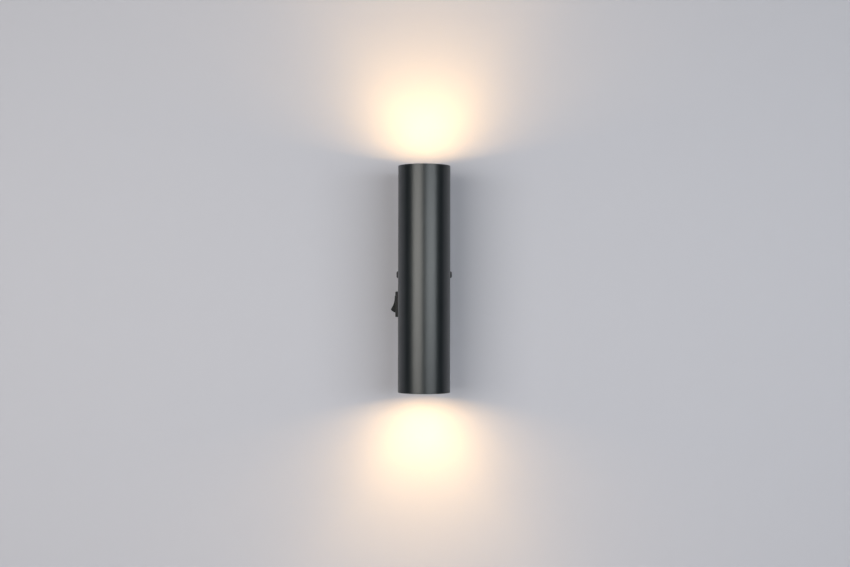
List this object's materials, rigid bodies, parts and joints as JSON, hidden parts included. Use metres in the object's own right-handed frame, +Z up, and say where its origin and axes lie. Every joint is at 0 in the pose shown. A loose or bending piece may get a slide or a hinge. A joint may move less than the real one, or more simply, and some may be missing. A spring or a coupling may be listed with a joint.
{
  "type": "tube wall light",
  "caption": "Upright round tube light on a slim wall box, with a lamp facing up, a lamp facing down, and a rocker switch on its side.",
  "frame": {"origin": "on the wall, midway between the two slots of the wall bracket", "axes": "+Z up along the tube, +Y into the wall, +X to the right as seen from the room"},
  "size_m": [0.0722, 0.1, 0.26],
  "materials": {
    "tube_powder": "fine textured powder coat",
    "box_powder": "fine textured powder coat",
    "black_steel": "blackened",
    "zinc_steel": "zinc plated",
    "switch_plastic": "fine moulded",
    "rocker_plastic": "satin moulded",
    "ceramic": "unglazed",
    "brass": "bright",
    "lamp_metal": "satin",
    "white_plastic": "moulded",
    "lens": "frosted",
    "board": "solder mask",
    "block_plastic": "moulded",
    "bushing_rubber": "matte",
    "brown_lead": "insulation",
    "blue_lead": "insulation",
    "earth_lead": "insulation"
  },
  "bodies": {
    "fixture": {"block_screw": "zinc_steel", "earth_lead": "earth_lead", "earth_nut": "zinc_steel", "earth_screw": "zinc_steel", "earth_tag": "zinc_steel", "holder_nuts": "zinc_steel", "holder_screws": "zinc_steel", "lower_contacts": "brass", "lower_holder": "ceramic", "lower_holder_bracket": "zinc_steel", "lower_live_lead": "brown_lead", "lower_neutral_lead": "blue_lead", "side_screws": "black_steel", "supply_live_lead": "brown_lead", "switch_body": "switch_plastic", "switch_terminals": "brass", "terminal_block": "block_plastic", "terminal_screws": "zinc_steel", "terminal_sleeves": "brass", "tube": "tube_powder", "tube_nuts": "zinc_steel", "tube_saddles": "zinc_steel", "tube_screws": "zinc_steel", "upper_contacts": "brass", "upper_holder": "ceramic", "upper_holder_bracket": "zinc_steel", "upper_live_lead": "brown_lead", "upper_neutral_lead": "blue_lead", "wall_box": "box_powder", "wall_bracket": "zinc_steel", "wire_bushing": "bushing_rubber"},
    "rocker": {"switch_rocker": "rocker_plastic", "switch_plunger": "white_plastic", "switch_spring": "zinc_steel"},
    "contact": {"switch_blade": "brass"},
    "upper_lamp": {"upper_lamp_housing": "lamp_metal", "upper_lamp_neck": "white_plastic", "upper_lamp_board": "board", "upper_lamp_lens": "lens", "upper_lamp_pins": "brass"},
    "lower_lamp": {"lower_lamp_housing": "lamp_metal", "lower_lamp_neck": "white_plastic", "lower_lamp_board": "board", "lower_lamp_lens": "lens", "lower_lamp_pins": "brass"}
  },
  "joints": [
    {"name": "rocker_tilt", "type": "hinge", "parent": "fixture", "child": "rocker", "pos_m": [-0.031, -0.023, -0.029], "axis": [0, -1, 0], "range_deg": [0, 33]},
    {"name": "contact_tilt", "type": "hinge", "parent": "fixture", "child": "contact", "pos_m": [-0.02445, -0.023, -0.029], "axis": [0, -1, 0], "range_deg": [-16.5, 0]},
    {"name": "upper_lamp_twist", "type": "hinge", "parent": "fixture", "child": "upper_lamp", "pos_m": [0, -0.07, 0], "axis": [0, 0, 1], "range_deg": [0, 25]},
    {"name": "lower_lamp_twist", "type": "hinge", "parent": "fixture", "child": "lower_lamp", "pos_m": [0, -0.07, 0], "axis": [0, 0, -1], "range_deg": [0, 25]}
  ],
  "couplings": [
    {"joint": "contact_tilt", "follows": "rocker_tilt", "ratio": -0.5}
  ]
}
